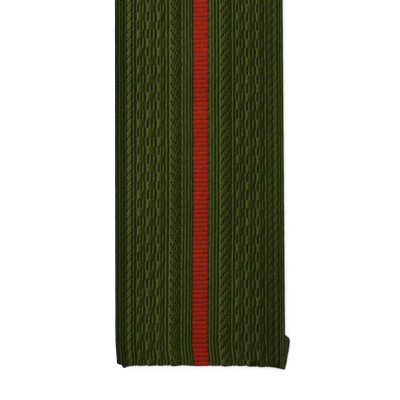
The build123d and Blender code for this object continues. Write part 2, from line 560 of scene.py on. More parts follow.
@dataclass(frozen=True)
class WearAndPaintedLight:
    """Paler cloth, as wear and painted highlight, and painted shade, as masks from 0 to 1.

    A pair of places is where a mask is 0 and where it is full. A window lies between two places,
    with edges that are soft inwards. Shares for the two halves of the board are left, right.
    """

    # Rib flanks by slope: wear and painted highlight. Fold crease: wear, and painted light on its
    # shaded roll
    flank_slopes: tuple = (0.2, 0.8)
    crease: float = -4.3
    crease_half: float = 0.45
    crease_share: float = 0.8
    # Painted shade of the outer part, over the whole length and more so near the shoulder end
    outer_shade: tuple = (0.22, 0.30)
    outer_across: tuple = (8.0, 22.0)
    outer_base: float = 0.3
    near_end: tuple = (48.0, -7.0)
    # Painted shade of the cords beside the stripe, near the shoulder end
    stripe_side_shade: tuple = (0.13, 0.24)
    cord_across: tuple = (6.0, 5.5)
    cord_along: tuple = (40.0, 10.0)
    # Left half: a frayed window, worn unevenly, and painted shade, darkest on the cords at the side
    frayed: tuple = (20.2, 21.9, 0.4)
    fray: tuple = (0.75, 0.25)
    fray_wave: float = 5.3
    fray_seed: int = 43
    dark_across: tuple = (21.3, 21.8)
    darkest_across: tuple = (23.7, 24.3)
    dark_share: float = 0.7
    # Right half: the field by the side and its rim, and at the fold a lip and a corner in painted
    # shade
    field_across: tuple = (20.2, 20.6)
    # The field by the side is greyer, as wear and painted highlight, and a little darker
    field_wear_and_highlight: float = 0.6
    field_darkening: float = 0.14
    # Less painted shade on the rim by the side, near the shoulder end
    rim_across: tuple = (23.4, 23.8)
    rim_share: float = 0.6
    # The lip is painted shade before the fold's roll, and painted lighter round it
    lip: tuple = (14.0, 17.2, 0.5)
    lip_along: tuple = (-4.9, -4.5)
    corner: tuple = (20.9, 23.8, 0.5)
    fold_start: tuple = (-3.0, -3.4)
    fold_end: tuple = (-8.0, -6.5)
    fold_shade_share: float = 0.72

    def masks(
        self, side: Side, across: np.ndarray, travel: np.ndarray, slope: np.ndarray
    ) -> tuple[np.ndarray, np.ndarray]:
        """The two masks over a grid of cloth.

        Args:
            side: The half of the board.
            across: Distances across.
            travel: Distances along the cloth, of the same shape.
            slope: How steep the relief is across.

        Returns:
            The masks of paler cloth, as wear and painted highlight, and of painted shade.
        """
        # Flanks and crease are paler: wear and painted highlight, and painted light on the fold's
        # shaded roll
        crease = self.crease_share * bell((travel - self.crease) / self.crease_half)
        worn = np.maximum(step(slope, *self.flank_slopes), crease)
        # Painted shade: darker towards the shoulder end and over the outer part
        near = step(travel, *self.near_end)
        outer = step(across, *self.outer_across) * (self.outer_base + near)
        cords = step(across, *self.cord_across) * step(travel, *self.cord_along)
        outer, cords = side.choose(*self.outer_shade) * outer, side.choose(*self.stripe_side_shade) * cords
        soil = np.maximum(outer, cords)
        if side is Side.LEFT:
            least, more = self.fray
            fray = least + more * waver(travel, self.fray_seed, self.fray_wave)
            worn = np.maximum(worn, fray * window(across, *self.frayed))
            # Painted shade on the left side, darkest on its outermost cords
            darkest = (1.0 - self.dark_share) * step(across, *self.darkest_across)
            dark = step(across, *self.dark_across) * (self.dark_share + darkest)
            return worn, np.maximum(soil, dark)
        field_mask = step(across, *self.field_across)
        lip = window(across, *self.lip)
        fold = step(travel, *self.fold_start) * step(travel, *self.fold_end)
        shaded = step(travel, *self.lip_along)
        worn = np.maximum(worn, self.field_wear_and_highlight * field_mask)
        # The lip is painted lighter round the fold's roll
        worn = np.maximum(worn, lip * fold * (1.0 - shaded))
        rim = step(across, *self.rim_across) * near
        soil = (soil + self.field_darkening * field_mask) * (1.0 - self.rim_share * rim)
        # Painted shade at the fold: the lip before the roll, and the corner
        fold_shade = fold * (lip * shaded + window(across, *self.corner))
        return worn, np.maximum(soil, self.fold_shade_share * fold_shade)


@dataclass(frozen=True)
class Relief:
    """What the weave gives at each place: height, and masks from 0 to 1 that colour it."""

    height: np.ndarray
    border: np.ndarray
    # Paler cloth as wear and painted highlight, and painted shade
    worn: np.ndarray
    soil: np.ndarray


@dataclass(frozen=True)
class Weave:
    """The woven pattern of the galloon.

    Places across are from the middle of the stripe, and the ones called u count to the right, so
    that they are negative on the left half. Every raised part is steepest on its left side.
    """

    seed: int = 40
    stripe_half: float = 2.22
    bed_depth: float = 0.42
    bed_edge: float = 0.06
    border_across: tuple = (2.86, 2.74)
    raised: float = 0.24
    # Loops that bind the stripe: distance across, half width, half length and height
    loop_place: float = 2.30
    loop_half: float = 0.13
    loop_length: float = 0.27
    loop_height: float = 0.26
    # Where the cloth is worn, painted lighter as a highlight, and painted darker as shade
    wear_and_painted_light: WearAndPaintedLight = WearAndPaintedLight()
    # How the ribs wander and ripple across, how the rows skew along, and how full the ribs are. The
    # skew's longest wave is 7.0 / 1.3 across the cloth and 7.0 / 0.21 along it.
    wander: Unevenness = Unevenness(0.04, 0.4, 23.0)
    ripple: Unevenness = Unevenness(0.03, 2.3, 4.7)
    skew: Unevenness = Unevenness(0.06, 1.3 / 0.21, 7.0 / 0.21)
    fullness: Unevenness = Unevenness(0.07, 1.7, 6.1)
    cord_fullness: Unevenness = Unevenness(0.10, 0.0, 9.0)
    edge_fullness: Unevenness = Unevenness(0.10, 0.0, 13.0)
    # Cords: place on the left half and on the right half, half width, height
    cords: tuple = (
        (4.24, 4.05, 0.45, 0.34),
        (5.16, 5.06, 0.43, 0.32),
        (9.93, 9.75, 0.36, 0.42),
    )
    # Cords that differ on the two halves: half of the board, place, half width, height
    odd_cords: tuple = (
        (Side.LEFT, 2.54, 0.29, 0.29),
        (Side.LEFT, 3.28, 0.43, 0.34),
        (Side.RIGHT, 2.48, 0.25, 0.08),
        (Side.RIGHT, 3.21, 0.37, 0.29),
        (Side.LEFT, 19.52, 0.36, 0.42),
        (Side.LEFT, 22.72, 0.34, 0.27),
        (Side.LEFT, 23.45, 0.34, 0.22),
        (Side.LEFT, 24.50, 0.55, 0.16),
        (Side.LEFT, 25.60, 0.44, 0.14),
        (Side.RIGHT, 19.70, 0.32, 0.33),
        (Side.RIGHT, 23.87, 0.27, 0.30),
        (Side.RIGHT, 24.68, 0.52, 0.34),
        (Side.RIGHT, 25.95, 0.44, 0.12),
    )
    # Chain columns: half of the board, boundary, three slots, place of the bars
    chains: tuple = (
        Chain(Side.LEFT, -18.54, (-18.14, -17.30, -16.23), 22.33),
        Chain(Side.LEFT, -15.83, (-15.32, -14.21, -13.17), 24.97),
        Chain(Side.LEFT, -12.66, (-12.23, -11.36, -10.47), 22.33),
        Chain(Side.RIGHT, 10.69, (11.16, 12.05, 13.17), 22.23),
        Chain(Side.RIGHT, 13.58, (14.15, 15.34, 16.44), 24.62),
        Chain(Side.RIGHT, 16.83, (17.36, 18.25, 19.11), 21.98),
    )
    # Rope bands: half of the board, left, right, share, rise, hole, its place, step aside and ahead
    ropes: tuple = (
        Rope(Side.LEFT, -9.34, -5.72, 1.0, 0.62, -8.42, 25.91, 0.63, -0.69),
        Rope(Side.LEFT, -21.66, -20.02, 0.82, 1.22, -20.28, 26.72, -0.44, -0.58),
        Rope(Side.LEFT, -22.62, -21.30, 0.40, 0.80, -20.80, 26.10, -0.43, -0.58),
        Rope(Side.RIGHT, 5.64, 9.36, 1.0, 0.50, 6.45, 23.86, 0.63, 0.69),
        Rope(Side.RIGHT, 20.24, 22.00, 0.42, 0.38, 20.95, 27.45, 0.60, 0.66),
        Rope(Side.RIGHT, 21.92, 23.28, 0.50, 1.05, 20.95, 27.45, 0.60, 0.66),
    )

    def relief(self, side: Side, across: np.ndarray, travel: np.ndarray) -> Relief:
        """Height of the weave above its ground, as the highest of all its ribs.

        The ribs wander a little across, the rows a little along, and their heights waver.

        Args:
            side: The half of the board.
            across: Distances across, one for each column.
            travel: Distances along the cloth, rows by columns.

        Returns:
            The height, and the masks of the border cord, of worn flanks with their painted
            highlight, and of painted shade.
        """
        seed = self.seed + side.value
        across = across[None, :]
        shift = self.wander.at(across, travel, seed) + self.ripple.at(across, travel, seed + 1)
        travel = travel + self.skew.at(across, travel, seed + 2)
        across = across + shift
        u = side.value * across
        bound = self.binding(across, travel)
        height = self.loop_height * bound
        for number, (left, right, half, top) in enumerate(self.cords):
            uneven = 1.0 + self.cord_fullness.at(across, travel, seed + 10 * number)
            height = np.maximum(height, uneven * cord(across, side.choose(left, right), half, top))
        for number, (half_board, middle, half, top) in enumerate(self.odd_cords):
            if half_board is side:
                uneven = 1.0 + self.edge_fullness.at(across, travel, seed + 7 * number)
                height = np.maximum(height, uneven * cord(across, middle, half, top))
        full = 1.0 + self.fullness.at(across, travel, seed + 3)
        for rib in (*self.chains, *self.ropes):
            if rib.side is side:
                height = np.maximum(height, full * rib.height(u, travel))
        bed = step(across, self.stripe_half + self.bed_edge, self.stripe_half)
        free = 1.0 - bed
        height = height * free - self.bed_depth * bed
        border = np.maximum(step(across, *self.border_across) * free, bound)
        slope = np.abs(np.gradient(height, axis=1)) / (across[0, 1] - across[0, 0])
        worn, soil = self.wear_and_painted_light.masks(side, across, travel, slope)
        return Relief(height, border, worn * free, soil)

    def binding(self, across: np.ndarray, travel: np.ndarray) -> np.ndarray:
        """The loops that bind every second rib of the stripe: a bell across times a bell along."""
        place = centred(travel - Stripe.groove_place - 0.5 * Stripe.rib_pitch, 2 * Stripe.rib_pitch)
        return bell((across - self.loop_place) / self.loop_half) * bell(place / self.loop_length)


def quads(index: np.ndarray) -> np.ndarray:
    """The quads of a grid of vertex numbers, facing up where columns run right and rows up."""
    corners = (index[:-1, :-1], index[:-1, 1:], index[1:, 1:], index[1:, :-1])
    return np.stack([corner.ravel() for corner in corners], axis=1)


def rim(fine: np.ndarray, coarse: np.ndarray) -> np.ndarray:
    """Polygons between a fine edge and a coarse one, each spanning one coarse step."""
    run = fine[COARSE_STEP * np.arange(len(coarse) - 1)[:, None] + np.arange(COARSE_STEP, -1, -1)]
    return np.concatenate([run, coarse[:-1, None], coarse[1:, None]], axis=1)


def new_object(name: str, data: bpy.types.ID) -> bpy.types.Object:
    """Makes an object and links it to the scene.

    Args:
        name: Name of the object.
        data: Its mesh, light or camera.

    Returns:
        The new object.
    """
    made = bpy.data.objects.new(name, data)
    bpy.context.scene.collection.objects.link(made)
    return made


def mesh_object(
    name: str,
    points: np.ndarray,
    faces: list[np.ndarray],
    values: dict[str, np.ndarray],
    uv: np.ndarray,
) -> bpy.types.Object:
    """Makes a smooth mesh object from arrays.

    Args:
        name: Name of the object and its mesh.
        points: Vertices in millimetres.
        faces: Arrays of polygons, each with one polygon per line.
        values: Numbers per vertex, kept as attributes of these names.
        uv: Two measures of the cloth per vertex, in millimetres.

    Returns:
        The new object, linked to the scene.
    """
    loops = np.concatenate([face.ravel() for face in faces])
    sizes = np.concatenate([np.full(len(face), face.shape[1]) for face in faces])
    starts = np.concatenate([[0], np.cumsum(sizes)[:-1]])
    mesh = bpy.data.meshes.new(name)
    mesh.vertices.add(len(points))
    mesh.vertices.foreach_set("co", (points * MM).astype(np.float32).ravel())
    mesh.loops.add(len(loops))
    mesh.loops.foreach_set("vertex_index", loops.astype(np.int32))
    mesh.polygons.add(len(sizes))
    mesh.polygons.foreach_set("loop_start", starts.astype(np.int32))
    mesh.polygons.foreach_set("use_smooth", np.ones(len(sizes), dtype=bool))
    layer = mesh.uv_layers.new(name="cloth")
    layer.data.foreach_set("uv", (uv[loops] * UV_PER_MM).astype(np.float32).ravel())
    for label, numbers in values.items():
        attribute = mesh.attributes.new(label, "FLOAT", "POINT")
        attribute.data.foreach_set("value", numbers.astype(np.float32))
    mesh.update(calc_edges=True)
    mesh.validate()
    mesh.set_sharp_from_angle(angle=SHARP_ANGLE)
    return new_object(name, mesh)


@dataclass
class ClothMesh:
    """A closed leaf of cloth: a fine outer grid, a coarser inner one, and rims that join them.

    The outer grid lies at its height along the outward directions, and the inner one at the depth
    against them. across and along are the cloth's measures at each place. The first column has its
    rim only beside open rows, where such rows are given.
    """

    name: str
    side: Side
    place: np.ndarray
    normal: np.ndarray
    height: np.ndarray
    depth: float
    values: dict[str, np.ndarray]
    across: np.ndarray
    along: np.ndarray
    open_rows: np.ndarray | None = None
    # What the attributes are on the plain inner side, with a little painted shade, and 0 where no
    # name is given
    plain: ClassVar[dict[str, float]] = {"height": 0.75, "soil": 0.1}

    def build(self) -> bpy.types.Object:
        """Makes the mesh object, with its UV map and its attributes."""
        return mesh_object(self.name, *self.parts())

    def parts(self) -> tuple:
        """The mesh as arrays.

        Returns:
            The vertices, the polygons, the attributes and the two measures of the cloth.
        """
        pick = (slice(None, None, COARSE_STEP), slice(None, None, COARSE_STEP))
        normal = np.broadcast_to(self.normal, self.place.shape)
        outer = self.place + normal * self.height[..., None]
        inner = self.place[pick] - normal[pick] * self.depth
        index = np.arange(self.height.size).reshape(self.height.shape)
        coarse = index.size + np.arange(inner[..., 0].size).reshape(inner.shape[:2])
        first = rim(index[:, 0], coarse[:, 0])[:, ::-1]
        if self.open_rows is not None:
            start = COARSE_STEP * np.arange(len(first))[:, None]
            first = first[self.open_rows[start + np.arange(COARSE_STEP + 1)].any(axis=1)]
        faces = [
            quads(index),
            quads(coarse)[:, ::-1],
            rim(index[0, :], coarse[0, :]),
            rim(index[-1, ::-1], coarse[-1, ::-1]),
            rim(index[:, -1], coarse[:, -1]),
            first,
        ]
        if self.side is Side.LEFT:
            faces = [face[:, ::-1] for face in faces]
        values = {
            name: np.concatenate([grid.ravel(), np.full(coarse.size, self.plain.get(name, 0.0))])
            for name, grid in self.values.items()
        }
        uv = np.stack(np.broadcast_arrays(self.side.value * self.across, self.along), axis=-1)
        points = np.concatenate([outer.reshape(-1, 3), inner.reshape(-1, 3)])
        return points, faces, values, np.concatenate([uv.reshape(-1, 2), uv[pick].reshape(-1, 2)])


def weld(meshes: list[tuple]) -> tuple:
    """Joins meshes given as arrays, and welds the vertices that lie at the same place.

    Args:
        meshes: Vertices, polygons, attributes and measures of each mesh.

    Returns:
        The same four of the joined mesh.
    """
    points, groups, values, uv = zip(*meshes)
    starts = np.cumsum([0] + [len(group) for group in points[:-1]])
    keys = np.round(np.concatenate(points) / WELD_DISTANCE).astype(np.int64)
    _, kept, place = np.unique(keys, axis=0, return_index=True, return_inverse=True)
    place = place.ravel()
    faces = [place[face + start] for group, start in zip(groups, starts) for face in group]
    joined = {name: np.concatenate([value[name] for value in values])[kept] for name in values[0]}
    return np.concatenate(points)[kept], faces, joined, np.concatenate(uv)[kept]


class NodeSheet:
    """The node tree of one material, with short calls that add and join its nodes."""

    def __init__(self, name: str) -> None:
        """Starts a material whose tree holds only its shader and output.

        Args:
            name: Name of the material.
        """
        self.material = bpy.data.materials.new(name)
        self.material.use_nodes = True
        self.tree = self.material.node_tree

    def feed(self, node: bpy.types.Node, inputs: dict) -> None:
        """Feeds a node's inputs, by name or number, with plain values or other nodes' outputs.

        Args:
            node: The node.
            inputs: What each input gets.
        """
        for key, value in inputs.items():
            if isinstance(value, bpy.types.NodeSocket):
                self.tree.links.new(value, node.inputs[key])
            else:
                node.inputs[key].default_value = value

    def dress(self, inputs: dict) -> None:
        """Feeds the inputs of the shader."""
        self.feed(self.tree.nodes["Principled BSDF"], inputs)

    def add(self, kind: str, inputs: dict, **settings: object) -> bpy.types.Node:
        """Adds a node.

        Args:
            kind: Kind of the node.
            inputs: What its inputs get.
            settings: Its properties.

        Returns:
            The new node.
        """
        node = self.tree.nodes.new("ShaderNode" + kind)
        for name, value in settings.items():
            setattr(node, name, value)
        self.feed(node, inputs)
        return node

    def math(self, operation: str, first: object, second: object = 0.0) -> bpy.types.NodeSocket:
        """The result of one sum, product or other operation on two numbers."""
        return self.add("Math", {0: first, 1: second}, operation=operation).outputs[0]

    def between(self, value: object, low: float, high: float) -> bpy.types.NodeSocket:
        """A number held between 0 and 1, turned into one from low to high."""
        return self.add("MapRange", {"Value": value, "To Min": low, "To Max": high}).outputs[0]

    def mix(
        self, share: object, first: object, second: object, blend: str = "MIX"
    ) -> bpy.types.NodeSocket:
        """A colour between two colours, or blended with the second one in another way."""
        inputs = {"Factor": share, "A": first, "B": second}
        return self.add("Mix", inputs, data_type="RGBA", blend_type=blend).outputs["Result"]

    def scaled(self, colour: object, share: object) -> bpy.types.NodeSocket:
        """A colour times a number."""
        return self.add("VectorMath", {0: colour, "Scale": share}, operation="SCALE").outputs[0]

    def noise(self, place: object, scale: float, detail: float) -> bpy.types.NodeSocket:
        """Soft noise from 0 to 1 at a place."""
        inputs = {"Vector": place, "Scale": scale, "Detail": detail}
        return self.add("TexNoise", inputs).outputs["Fac"]

    def attribute(self, name: str) -> bpy.types.NodeSocket:
        """A number that the mesh carries at each vertex, or 0 where it carries none."""
        return self.add("Attribute", {}, attribute_name=name).outputs["Fac"]


@dataclass(frozen=True)
class ClothFinish:
    """Finish of a woven cloth: colours of its ground and crests, yarns, sheen, wear, painted
    highlight and painted shade.
    """

    name: str
    ground: tuple
    crest: tuple
    border: tuple
    # Colours of wear with painted highlight, and of painted shade
    worn: tuple
    soiled: tuple
    roughness: tuple = (0.72, 0.92)
    specular: float = 0.004
    sheen: float = 0.003
    sheen_roughness: float = 0.5
    sheen_tint: tuple = (0.6, 0.65, 0.5, 1.0)
    # Filaments: scale of their noise in each centimetre across and along, and its detail
    filaments: tuple = (90.0, 4.0, 1.0)
    filament_detail: float = 2.0
    # Picks: distance apart in millimetres, height in a groove and on a crest, share of the relief
    pick_pitch: float = 0.33
    pick_rise: tuple = (0.5, 1.0)
    pick_share: float = 0.6
    # Depth of the yarns' relief in metres, and how strongly it shades
    yarn_depth: float = 0.00009
    yarn_strength: float = 0.7
    # Scale and detail of the noise, and what it does at its least and its most
    dye: tuple = (55.0, 3.0)
    dye_shade: tuple = (0.78, 1.22)
    speck: tuple = (900.0, 2.0)
    speck_shade: tuple = (0.76, 1.24)
    filament_shade: tuple = (0.7, 1.3)
    patch: tuple = (170.0, 1.0)
    patch_share: tuple = (-0.7, 1.7)
    cool: tuple = (0.94, 1.02, 0.98, 1.0)
    warm: tuple = (1.06, 0.98, 1.02, 1.0)

    def material(self) -> bpy.types.Material:
        """Makes the material.

        The height of the weave mixes the ground's colour with the crests', and masks bring in the
        border cord, worn flanks with their painted highlight, and painted shade. Fine filaments run
        along the cords and picks cross them, both in the cloth's own measures. Soft noise in the
        object's measures varies the dye, dots it with specks and turns it cooler or warmer in
        patches.

        Returns:
            The new material.
        """
        sheet = NodeSheet(self.name)
        coordinates = sheet.add("TexCoord", {}).outputs
        cloth, body = coordinates["UV"], coordinates["Object"]
        stretched = sheet.add("Mapping", {"Vector": cloth, "Scale": self.filaments}).outputs[0]
        filament = sheet.noise(stretched, 1.0, self.filament_detail)
        along = sheet.add("SeparateXYZ", {0: cloth}).outputs["Y"]
        turns = sheet.math("MULTIPLY", along, 2.0 * pi / (UV_PER_MM * self.pick_pitch))
        pick = sheet.between(sheet.math("SINE", turns), *self.pick_rise)
        speck = sheet.noise(body, *self.speck)

        colour = sheet.mix(sheet.attribute("height"), self.ground, self.crest)
        colour = sheet.mix(sheet.attribute("border"), colour, self.border)
        # Wear with painted highlight on the flanks, then painted shade
        worn = sheet.math("MULTIPLY", sheet.attribute("worn"), sheet.between(speck, 0.0, 1.0))
        colour = sheet.mix(worn, colour, self.worn)
        colour = sheet.mix(sheet.attribute("soil"), colour, self.soiled)
        patch = sheet.between(sheet.noise(body, *self.patch), *self.patch_share)
        colour = sheet.mix(1.0, colour, sheet.mix(patch, self.cool, self.warm), "MULTIPLY")
        shade = sheet.between(sheet.noise(body, *self.dye), *self.dye_shade)
        for fine, shades in ((filament, self.filament_shade), (speck, self.speck_shade)):
            shade = sheet.math("MULTIPLY", shade, sheet.between(fine, *shades))
        yarn = sheet.math("ADD", sheet.math("MULTIPLY", pick, self.pick_share), filament)
        bumps = {"Strength": self.yarn_strength, "Distance": self.yarn_depth, "Height": yarn}
        sheet.dress(
            {
                "Base Color": sheet.scaled(colour, shade),
                "Roughness": sheet.between(filament, *self.roughness),
                "Specular IOR Level": self.specular,
                "Sheen Weight": self.sheen,
                "Sheen Roughness": self.sheen_roughness,
                "Sheen Tint": self.sheen_tint,
                "Normal": sheet.add("Bump", bumps).outputs[0],
            }
        )
        return sheet.material


# The crest's greyer colour is a painted highlight, the ground's brighter green is painted light in
# the grooves, the wear colour is wear and a painted highlight, and the dark colour is painted shade
GALLOON = ClothFinish(
    name="green_galloon_weave",
    ground=(0.0232, 0.0368, 0.0011, 1.0),
    crest=(0.0208, 0.0288, 0.0044, 1.0),
    border=(0.0270, 0.0285, 0.0040, 1.0),
    worn=(0.0305, 0.0355, 0.0125, 1.0),
    soiled=(0.0046, 0.0066, 0.0017, 1.0),
)

# The lobes lie in the board's shadow: the crest colour is painted light on their tops, and the dark
# ground is painted shade on their rims
FLAP_SIDE_PAINTED_LIGHT = ClothFinish(
    name="green_galloon_back_painted_light",
    ground=(0.0080, 0.0110, 0.0060, 1.0),
    crest=(0.0470, 0.0550, 0.0320, 1.0),
    border=(0.0260, 0.0310, 0.0150, 1.0),
    worn=(0.060, 0.070, 0.038, 1.0),
    soiled=(0.010, 0.013, 0.008, 1.0),
)

# The wear colour on the rib crests is wear and a painted highlight, and the dark colour is painted
# shade towards the shoulder end
STRIPE_RED = ClothFinish(
    name="red_stripe_weave",
    ground=(0.160, 0.0040, 0.0020, 1.0),
    crest=(0.154, 0.0118, 0.0052, 1.0),
    border=(0.10, 0.03, 0.010, 1.0),
    worn=(0.168, 0.0115, 0.0042, 1.0),
    soiled=(0.05, 0.001, 0.0005, 1.0),
    sheen_tint=(0.9, 0.3, 0.25, 1.0),
    filaments=(30.0, 4.0, 1.0),
    cool=(0.97, 0.88, 1.25, 1.0),
    warm=(1.03, 1.12, 0.75, 1.0),
)


def finish_piece(
    piece: bpy.types.Object, node: str, material: bpy.types.Material
) -> bpy.types.Object:
    """Gives a piece its material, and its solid's place in the model.

    Args:
        piece: The new object.
        node: The solid that it stands for.
        material: Its material.

    Returns:
        The same object.
    """
    piece.data.materials.append(material)
    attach(piece, ROOT)
    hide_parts(node)
    vertices, polygons = len(piece.data.vertices), len(piece.data.polygons)
    LOG.info("%s: %d vertices, %d polygons", piece.name, vertices, polygons)
    return piece


@dataclass
class Galloon:
    """The green woven strip, as two bands of cloth and a turned-under margin on each half."""

    board: Board
    weave: Weave
    seam_gap: float = 0.002
    band_seam: float = 10.29
    inner_columns: int = 80
    outer_columns: int = 112
    # What the two ends take of the cloth's length under the board
    turned_under: float = 20.0
    # How much of the relief is pressed flat on the underside
    pressed: float = 0.55
    margin_columns: int = 13 * COARSE_STEP
    margin_rows: int = 100 * COARSE_STEP
    margin_gap: float = 0.08
    margin_start: float = 30.0
    # Plain cords of a margin: distance apart, place of the first, height and power of the ridge,
    # and the height mask's least value and what a crest adds to it
    cord_pitch: float = 0.96
    cord_place: float = 0.3
    cord_height: float = 0.2
    cord_power: float = 0.7
    cord_shade: tuple = (0.4, 0.6)
    cord_fullness: Unevenness = Unevenness(0.1, 0.0, 11.0)
    cord_seed: int = 7
    # Painted shade of the left margin: at the side, share that fades inwards, and where it has
    # faded
    margin_fade: tuple = (0.8, 5.0)
    bands: dict = field(default_factory=dict)
    margins: dict = field(default_factory=dict)

    def build(self) -> None:
        """Makes the four bands and the two turned-under side margins."""
        material = GALLOON.material()
        rows = self.board.rows()
        for side in Side:
            label = f"galloon_{side.name.lower()}"
            start, last = self.band_seam + self.seam_gap, self.board.seam(side) - self.seam_gap
            grids = {
                Band.INNER: (0.5 * self.seam_gap, self.band_seam, self.inner_columns + 1),
                Band.OUTER: (start, last, self.outer_columns + 1),
            }
            for band, columns in grids.items():
                leaf = self.band(f"{label}_{band.value}", side, np.linspace(*columns), rows)
                self.bands[side, band] = self.finish(leaf, material)
            self.margins[side] = self.finish(self.margin(f"{label}_margin", side), material)

    def finish(self, leaf: ClothMesh, material: bpy.types.Material) -> bpy.types.Object:
        """Makes one piece of the galloon."""
        return finish_piece(leaf.build(), "galloon", material)

    def band(self, name: str, side: Side, across: np.ndarray, rows: Rows) -> ClothMesh:
        """One band of the cloth, from the flap's cut edge over the face to the neck margin's.

        Args:
            name: Name of the piece.
            side: The half of the board.
            across: Distances across, one for each column.
            rows: The rows of its grid.

        Returns:
            The closed leaf of this band.
        """
        drape = self.board.drape(side, across, rows)
        relief = self.weave.relief(side, across, drape.travel)
        height = relief.height * (1.0 - self.pressed * step(rows.turn, QUARTER, 0.0)[:, None])
        # Masks of wear with painted highlight, and of painted shade
        values = {
            "height": np.clip(relief.height / self.weave.raised, 0.0, 1.0),
            "border": relief.border,
            "worn": relief.worn,
            "soil": relief.soil,
        }
        place, normal, along, depth = drape.place, drape.normal, drape.travel, self.board.cloth
        return ClothMesh(name, side, place, normal, height, depth, values, across, along)

    def margin(self, name: str, side: Side) -> ClothMesh:
        """The side margin that is turned under, from the seam down the side to its cut edge.

        Across, the cloth runs down the wall, round a quarter circle and inwards along the
        underside. Its plain cords are cosine ridges one cord apart.

        Args:
            name: Name of the piece.
            side: The half of the board.

        Returns:
            The closed leaf of this margin.
        """
        board = self.board
        radius = board.radius(side)
        wall = board.middle - radius
        corner = wall + QUARTER * radius
        last = corner + board.side_margin - radius
        across = np.linspace(self.seam_gap, last, self.margin_columns + 1)
        angle = np.clip((across - wall) / radius, 0.0, QUARTER)
        x = board.half_width - radius + radius * np.cos(angle) - np.maximum(across - corner, 0.0)
        lift = board.underside_lift
        rise = board.middle - np.minimum(across, wall) - radius * np.sin(angle)
        z = lift + rise * (board.middle - lift) / board.middle
        low = board.end_y + board.flap + self.margin_gap
        high = board.neck_line(x, board.neck_margin) - self.margin_gap
        y = low + (high - low) * np.linspace(0.0, 1.0, self.margin_rows + 1)[:, None]
        x = np.broadcast_to(side.value * x, y.shape)
        place = np.stack(np.broadcast_arrays(x + board.lean_at(y, x), y, z), axis=-1)
        normal = np.stack([side.value * np.cos(angle), 0.0 * angle, -np.sin(angle)], axis=-1)
        crest = 0.5 + 0.5 * np.cos(2.0 * pi * (across - self.cord_place) / self.cord_pitch)
        uneven = 1.0 + self.cord_fullness.at(across, y, self.cord_seed)
        height = self.cord_height * crest**self.cord_power * uneven
        least, more = self.cord_shade
        share, faded = self.margin_fade
        # Painted shade, on the left margin only
        soil = side.choose(1.0, 0.0) * (1.0 - share * step(across, 0.0, faded))
        values = {
            "height": np.broadcast_to(least + more * crest, y.shape),
            "soil": np.broadcast_to(soil, y.shape),
        }
        across = self.margin_start + across
        return ClothMesh(name, side, place, normal, height, board.cloth, values, across, y)

    def declare(self) -> None:
        """Goes over the bands and works out the width of each outer band, which it does not keep.
        """
        for (side, band), piece in self.bands.items():
            if band is Band.OUTER:
                width = self.board.seam(side) - self.band_seam


@dataclass
class Stripe:
    """The red stripe, a narrow woven band with cross ribs that lies in the galloon's bed."""

    board: Board
    half_width: float = 2.20
    thickness: float = 0.40
    lift: float = 0.02
    rib_height: float = 0.125
    edge_wave: float = 0.07
    # The stripe thins over this share of its half width, down to this share of a rib
    edge_share: float = 0.12
    edge_height: float = 0.75
    pressed: float = 0.4
    hole_share: float = 0.95
    # Masks: of the border at the edge, of crests by their height, paler as wear and painted
    # highlight, and of painted shade towards the shoulder end
    border: float = 0.35
    worn_crests: tuple = (0.6, 1.0)
    soil: float = 0.18
    columns: int = 12
    rib_pitch: ClassVar[float] = 1.327
    groove_place: ClassVar[float] = -3.42

    def build(self) -> bpy.types.Object:
        """Makes the stripe, as two halves that are welded along the middle."""
        piece = mesh_object("stripe_cloth", *weld([self.half(side).parts() for side in Side]))
        return finish_piece(piece, "centre_stripe", STRIPE_RED.material())

    def half(self, side: Side) -> ClothMesh:
        """One half of the stripe, from its middle to its side.

        Its ribs run across it: height * (1 - |v|^3) for v from -1 to 1 between two grooves. Its
        side waves in and out once in every two ribs. At the button hole the middle is pushed out
        to the hole's edge, and only there does the half keep a rim along its middle.

        Args:
            side: The half of the stripe.

        Returns:
            The closed leaf of this half.
        """
        rows = self.board.rows(face=1260, roll=32, under=60)
        share = np.linspace(0.0, 1.0, self.columns + 1)
        drape = self.board.drape(Side.RIGHT, share * self.half_width, rows)
        travel = drape.travel
        past_groove = travel - self.groove_place - 0.5 * self.rib_pitch
        wave = np.cos(pi * centred(past_groove, 2 * self.rib_pitch) / self.rib_pitch)
        width = self.half_width - self.edge_wave * wave
        spread = self.board.opening(drape.place[..., 1]) * (rows.turn > 0.0)[:, None]
        reach = np.minimum(spread, self.hole_share * width)
        place = drape.place.copy()
        place[..., 0] = side.value * (reach + share * (width - reach))
        place[..., 0] += self.board.lean_at(travel, 0.0 * travel)
        v = 2.0 * centred(past_groove, self.rib_pitch) / self.rib_pitch
        crest = 1.0 - np.abs(v) ** 3
        edge = step(share, 1.0, 1.0 - self.edge_share)
        pressed = 1.0 - self.pressed * np.clip(-rows.turn / QUARTER, 0.0, 1.0)[:, None]
        full = self.edge_height + (1.0 - self.edge_height) * edge
        height = self.lift + self.rib_height * crest * pressed * full
        # Crests paler as wear and painted highlight, and painted shade towards the shoulder end
        values = {
            "height": np.clip(crest, 0.0, 1.0),
            "border": np.broadcast_to(self.border * (1.0 - edge), crest.shape),
            "worn": step(crest, *self.worn_crests),
            "soil": self.soil * step(travel, *WearAndPaintedLight.near_end),
        }
        name, depth, across = "stripe_half", self.thickness - self.lift, share * self.half_width
        hole = spread[:, 0] > 0.0
        return ClothMesh(
            name, side, place, drape.normal, height, depth, values, across, travel, hole
        )


